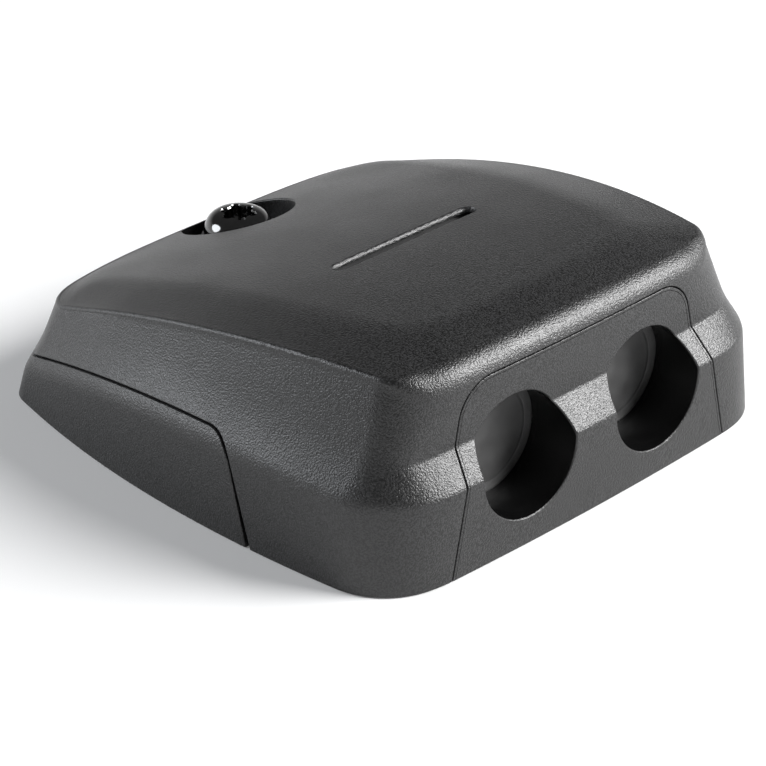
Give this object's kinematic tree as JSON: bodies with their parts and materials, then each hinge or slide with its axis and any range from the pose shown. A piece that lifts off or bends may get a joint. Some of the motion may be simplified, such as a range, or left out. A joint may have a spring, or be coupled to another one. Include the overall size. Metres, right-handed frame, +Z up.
{
  "type": "double cable gland",
  "caption": "Low moulded deck housing with round front ports that leads cables down through a hole in its base, under a lift-off cover.",
  "frame": {"origin": "on the deck, under the middle of the housing's bounding box", "axes": "the ports face -Y, the cover bolt is at the +Y end, +Z is up from the deck, the housing's plane of symmetry is X = 0"},
  "size_m": [0.098, 0.098, 0.0351],
  "materials": {
    "housing": "finely textured black moulding",
    "inner_plastic": "plain dark grey moulding",
    "seal_rubber": "satin black rubber",
    "steel": "polished stainless steel",
    "brass": "turned brass"
  },
  "bodies": {
    "base": {"base": "housing", "port_panel": "housing", "panel_gasket": "seal_rubber", "left_cable_seal": "seal_rubber", "right_cable_seal": "seal_rubber", "seal_clamp": "inner_plastic", "clamp_screw_left": "steel", "clamp_screw_right": "steel", "clamp_screw_upper": "steel", "clamp_screw_lower": "steel", "panel_screw_left": "steel", "panel_screw_right": "steel", "left_side_seal": "seal_rubber", "right_side_seal": "seal_rubber", "deck_gasket": "seal_rubber", "threaded_insert": "brass"},
    "cover": {"cover": "housing", "bolt_washer": "steel", "bolt_o_ring": "seal_rubber"},
    "bolt": {"cover_bolt": "steel", "bolt_retaining_ring": "steel"}
  },
  "joints": [
    {"name": "cover_lift", "type": "slide", "parent": "base", "child": "cover", "axis": [0, 0, 1], "range_m": [0, 0.045]},
    {"name": "cover_bolt_turn", "type": "hinge", "parent": "cover", "child": "bolt", "pos_m": [0, 0.037, 0.018], "axis": [0, 0, 1], "continuous": true}
  ]
}
